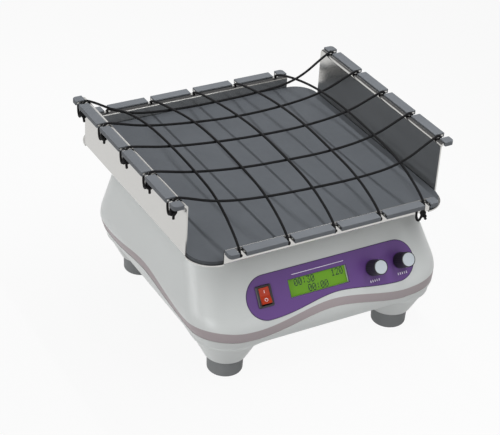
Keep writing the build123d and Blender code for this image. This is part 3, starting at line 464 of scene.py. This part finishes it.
def knot_parts(turn, x, y, z, seed, loose):
    """A trefoil knot drawn tight under a notch: sin t + 2 sin 2t, cos t - 2 cos 2t, -1.5 sin 3t.

    A loose one is larger and hangs on a stem, with a short tail and a loop like half an ellipse beside it.
    """
    t = np.linspace(0, 2 * pi, 48, endpoint=False)
    size = 0.00098 if loose else 0.00046
    across, along = np.sin(t) + 2 * np.sin(2 * t), np.cos(t) - 2 * np.cos(2 * t)
    trefoil = np.column_stack((across, along, -1.5 * np.sin(3 * t))) * size
    tilt = np.array(Matrix.Rotation(seed, 3, Vector((1, 0.4, 0.2)).normalized()))
    knot = tube(trefoil @ tilt.T, 0.00125, 8, True)
    s = np.linspace(0, 1, 9)
    lean = 0.25 * sin(3 * seed)
    tail_line = np.column_stack((0.0006 * s, 0.001 + (0.002 + lean * 0.006) * s, -0.0015 - 0.0048 * s))
    tail_size = 0.00125 * np.sqrt(np.clip(1 - np.clip(8 * s - 7, 0, 0.999) ** 2, 0.02, 1))
    tail = tube(tail_line, tail_size, 8)
    stem = tube(np.column_stack((0 * s, 0 * s, 0.001 + 0.008 * s)), cord_radius, 8)
    u = np.linspace(0, pi, 17)
    loop_hang = 0.0070 - 0.0115 * np.sin(u) ** 0.8
    loop_line = np.column_stack((0.0013 * np.ones(17), -0.0058 + 0.0034 * np.cos(u), loop_hang))
    loop = tube(loop_line, 0.0012, 8)
    vertices, faces = joined([knot, tail, loop, stem] if loose else [knot])
    outward = np.array(Matrix.Rotation(turn, 3, "Z"))
    return vertices @ outward.T + np.array((x, y, z)), faces


knots = []
for i, place in enumerate(notch_places):
    reach = cord_x / 1000
    for turn, x, y, z, loose in (
        (0, reach, place, side_knot, False),
        (pi, -reach, place, side_knot, True),
        (pi / 2, place, reach, end_knot, i == 4),
        (-pi / 2, place, -reach, end_knot, i == 4),
    ):
        height = z - loose_drop if loose else z + tight_lift
        knots.append(knot_parts(turn, x, y, height / 1000, 0.7 + 1.3 * i + turn, loose))
new_piece("net_knots_tied", *joined(knots), cord_finish, "platform", ["net_knots"], "cord")

# Rubber edge trims, knobs and small mouldings with rounded edges
def moved(obj, change):
    """Changes the corners of a new piece's mesh, given and given back as an array."""
    mesh = obj.data
    flat = np.empty(3 * len(mesh.vertices), dtype=np.float32)
    mesh.vertices.foreach_get("co", flat)
    corners = change(flat.reshape(-1, 3).astype(float))
    mesh.vertices.foreach_set("co", corners.astype(np.float32).ravel())
    mesh.update()


def wider(axis):
    """Moves the inner faces of the trims on one axis in towards the bend of the flange."""

    def change(corners):
        inner = np.abs(corners[:, axis]) < flange_edge + trim_thickness - trim_width + 1e-4
        corners[inner, axis] = np.sign(corners[inner, axis]) * (tray_half + tray_bend)
        return corners

    return change


for side, axis in (("left", 0), ("right", 0), ("front", 1), ("rear", 1)):
    moved(rounded(f"trims_{side}", 0.0004, trim_finish), wider(axis))


def upright_corners(corners):
    """Squares the mat's edge at its four round corners, where the tray has no bend.

    Low points there move out from the corner's centre to the radius of the mat's rim.
    """
    centre = wall_half - mat_gap
    radius = tray_half - tray_sheet - mat_gap - centre
    side = np.sign(corners[:, :2])
    out = np.abs(corners[:, :2]) - centre
    low = (out.min(axis=1) > 0) & (corners[:, 2] < mat_top - 1e-4)
    length = np.linalg.norm(out[low], axis=1)[:, None]
    corners[low, :2] = side[low] * (centre + out[low] / length * radius)
    return corners


moved(welded("mat", "mat_edge", mat_finish), upright_corners)
welded("tray", "tray_smooth", tray_finish)
for node, width, finish, slot in (
    ("switch_frame", 0.0003, black_finish, "black_plastic"),
    ("rocker", 0.0004, rocker_finish, "rocker"),
    ("time_cap", 0.0002, cap_finish, "knob_cap"),
    ("speed_cap", 0.0002, cap_finish, "knob_cap"),
    ("mains_inlet", 0.0004, black_finish, "black_plastic"),
):
    rounded(node, width, finish)


def on_slope(across, up, out):
    """Points of the panel's slope in metres, from arrays of millimetres across, up and out of it."""
    a, u, o = np.broadcast_arrays(np.asarray(across, float), np.asarray(up, float), np.asarray(out, float))
    axes = np.array((slope_x, slope_up, slope_out))
    return np.array(slope_foot) + np.stack((a, u, o), axis=-1) @ axes / 1000


def marks(rectangles, out):
    """Corners and faces of flat rectangles on the slope: middle plus or minus half the width and height.

    Each is given as middle across, middle up, width and height, in millimetres.
    """
    r = np.array(rectangles, float)
    signs = np.array(((-1, -1), (1, -1), (1, 1), (-1, 1))) / 2
    across = r[:, None, 0] + signs[None, :, 0] * r[:, None, 2]
    up = r[:, None, 1] + signs[None, :, 1] * r[:, None, 3]
    corners = on_slope(across, up, out).reshape(-1, 3)
    return corners, np.arange(len(corners)).reshape(-1, 4)


# Control panel with a thin dark line round its edges
panel = welded("control_panel", "panel_overlay", panel_finish)
panel.data.materials.append(panel_line)
work = bmesh.new()
work.from_mesh(panel.data)
front = [f for f in work.faces if f.normal.dot(slope_out) > 0.99]
ring = bmesh.ops.inset_region(work, faces=front, thickness=0.00055, use_boundary=True)
for face in ring["faces"]:
    face.material_index = 1
work.to_mesh(panel.data)
work.free()

# Characters of the display: lit dots, five by seven in each place
glyphs = {
    "0": (14, 17, 19, 21, 25, 17, 14),
    "1": (4, 12, 4, 4, 4, 4, 14),
    "2": (14, 17, 1, 2, 4, 8, 31),
    "3": (31, 2, 4, 2, 1, 17, 14),
    ":": (0, 4, 4, 0, 4, 4, 0),
}
dots = []
for line, up in ((" 00:30    120", 34.7), ("    00:00    ", 26.3)):
    for place, glyph in enumerate(line):
        for row, bits in enumerate(glyphs.get(glyph, ())):
            for column in range(5):
                if bits >> (4 - column) & 1:
                    across = window_left + 3.4 + 4.6 * place + 0.78 * column
                    dots.append((across, up - 1.0 * (row - 3), 0.8, 1.02))
new_piece("display_dots", *marks(dots, glass_face + 0.03), dot_finish, "base", slot="display")

# Plain ticks by the knobs and a rule over the window
ticks = [(x + 2.4 * (i - 2), knob_row - 12.8, 0.9, 2.2) for x in knob_places for i in range(5)]
ticks.append((window_left + 34.0, 43.2, 58.0, 0.55))
new_piece("panel_marks", *marks(ticks, panel_face + 0.03), mark_finish, "base", slot="knob_cap")

# Marks for on and off on the rocker's two faces
rocker_lean = front_lean + radians(7)
rocker_up = np.array((0, sin(rocker_lean), cos(rocker_lean)))
rocker_out = np.array((0, -cos(rocker_lean), sin(rocker_lean)))
rocker_seat = on_slope(switch_x, switch_v, -1.8)
face_lean = 1.0 / 7.9


def on_rocker(across, up):
    """Points just proud of the rocker's two faces, from arrays of millimetres across and up."""
    out = 3.6 + np.abs(up) * face_lean + 0.06
    local = np.multiply.outer(up, rocker_up) + np.multiply.outer(out, rocker_out)
    return rocker_seat + (local + np.multiply.outer(across, (1, 0, 0))) / 1000


angle = np.arange(24) * 2 * pi / 24
ring_points = np.concatenate([on_rocker(r * np.cos(angle), -4.1 + r * np.sin(angle)) for r in (1.25, 1.75)])
bar = on_rocker(np.array((-0.28, 0.28, 0.28, -0.28)), np.array((2.6, 2.6, 5.4, 5.4)))
new_piece(
    "rocker_marks",
    *joined([(ring_points, grid_faces(2, 24, False)), (bar, np.array(((0, 1, 2, 3),)))]),
    mark_finish,
    "power_rocker",
    slot="knob_cap",
)


def stage_object(name, corners, faces, material):
    """A floor or backdrop surface."""
    mesh = bpy.data.meshes.new(name)
    mesh.from_pydata(corners, [], faces)
    obj = bpy.data.objects.new(name, mesh)
    scene.collection.objects.link(obj)
    mesh.materials.append(material)
    return obj


def area_light(name, place, target, width, length, power, along=(0, 1, 0)):
    """A rectangular lamp aimed at a target, with its long side as near a direction as it can be."""
    lamp = bpy.data.lights.new(name, "AREA")
    lamp.shape = "RECTANGLE"
    lamp.size = width
    lamp.size_y = length
    lamp.energy = power
    obj = bpy.data.objects.new(name, lamp)
    scene.collection.objects.link(obj)
    obj.visible_camera = False
    back = (Vector(place) - Vector(target)).normalized()
    side = Vector(along).cross(back).normalized()
    obj.matrix_world = Matrix.Translation(place) @ Matrix((side, back.cross(side), back)).transposed().to_4x4()
    return obj


def background(tree, light, level):
    """White for camera, glossy and transmission rays, and a plain soft level of light for the rest."""
    path = tree.nodes.new("ShaderNodeLightPath")
    first = tree.nodes.new("ShaderNodeMath")
    second = tree.nodes.new("ShaderNodeMath")
    for adder in (first, second):
        adder.operation = "MAXIMUM"
    choice = tree.nodes.new("ShaderNodeMixShader")
    white = tree.nodes.new(light)
    white.inputs[0].default_value = (1, 1, 1, 1)
    tree.links.new(path.outputs["Is Camera Ray"], first.inputs[0])
    tree.links.new(path.outputs["Is Glossy Ray"], first.inputs[1])
    tree.links.new(first.outputs[0], second.inputs[0])
    tree.links.new(path.outputs["Is Transmission Ray"], second.inputs[1])
    share = tree.nodes.new("ShaderNodeMath")
    share.operation = "MULTIPLY"
    share.inputs[1].default_value = level
    tree.links.new(second.outputs[0], share.inputs[0])
    tree.links.new(share.outputs[0], choice.inputs[0])
    tree.links.new(white.outputs[0], choice.inputs[2])
    return choice


floor_material = bpy.data.materials.new("floor")
floor_material.use_nodes = True
tree = floor_material.node_tree
tree.nodes.clear()
plain = tree.nodes.new("ShaderNodeBsdfDiffuse")
plain.inputs[0].default_value = (0.5, 0.5, 0.5, 1)
shown = background(tree, "ShaderNodeEmission", 0.93)
output = tree.nodes.new("ShaderNodeOutputMaterial")
tree.links.new(plain.outputs[0], shown.inputs[1])
tree.links.new(shown.outputs[0], output.inputs[0])
stage_object("floor", [(-6, -6, 0), (6, -6, 0), (6, 6, 0), (-6, 6, 0)], [(0, 1, 2, 3)], floor_material)

# A dark sheet overhead, which only reflections see
dim = bpy.data.materials.new("overhead")
dim.use_nodes = True
dim.node_tree.nodes.clear()
glow = dim.node_tree.nodes.new("ShaderNodeEmission")
glow.inputs[0].default_value = (0.14, 0.14, 0.145, 1)
dim_out = dim.node_tree.nodes.new("ShaderNodeOutputMaterial")
dim.node_tree.links.new(glow.outputs[0], dim_out.inputs[0])
overhead_corners = [(-2, -2, 1.5), (-2, 2, 1.5), (2, 2, 1.5), (2, -2, 1.5)]
overhead = stage_object("overhead", overhead_corners, [(0, 1, 2, 3)], dim)
overhead.visible_camera = False
overhead.visible_diffuse = False
overhead.visible_shadow = False
overhead.visible_transmission = False

world = bpy.data.worlds.new("studio")
scene.world = world
world.use_nodes = True
world_tree = world.node_tree
world_tree.nodes.clear()
soft = world_tree.nodes.new("ShaderNodeBackground")
soft.inputs[0].default_value = (0.11, 0.11, 0.112, 1)
sky = background(world_tree, "ShaderNodeBackground", 1.0)
world_out = world_tree.nodes.new("ShaderNodeOutputWorld")
world_tree.links.new(soft.outputs[0], sky.inputs[1])
world_tree.links.new(sky.outputs[0], world_out.inputs[0])

# Two narrow strips close over the tray draw the cords' shadows; three boxes light the sides
for strip in (
    area_light("strip_left", (-0.05, 0, 0.47), (-0.05, 0, 0.15), 0.006, 1.2, 2.7),
    area_light("strip_right", (0.197, 0, 0.58), (0.05, 0, 0.15), 0.006, 1.2, 3.6),
):
    strip.visible_glossy = False
area_light("box_left", (-1.5, 0.3, 0.32), (0, 0, 0.1), 0.8, 0.45, 7.5, (0, 0, 1))
area_light("box_front", (0.5, -1.55, 0.32), (0, 0, 0.1), 0.8, 0.45, 1.6, (0, 0, 1))
area_light("box_corner", (-1.45, -0.85, 0.32), (0, 0, 0.1), 0.4, 0.4, 6.5, (0, 0, 1))

scene.view_settings.view_transform = "Standard"
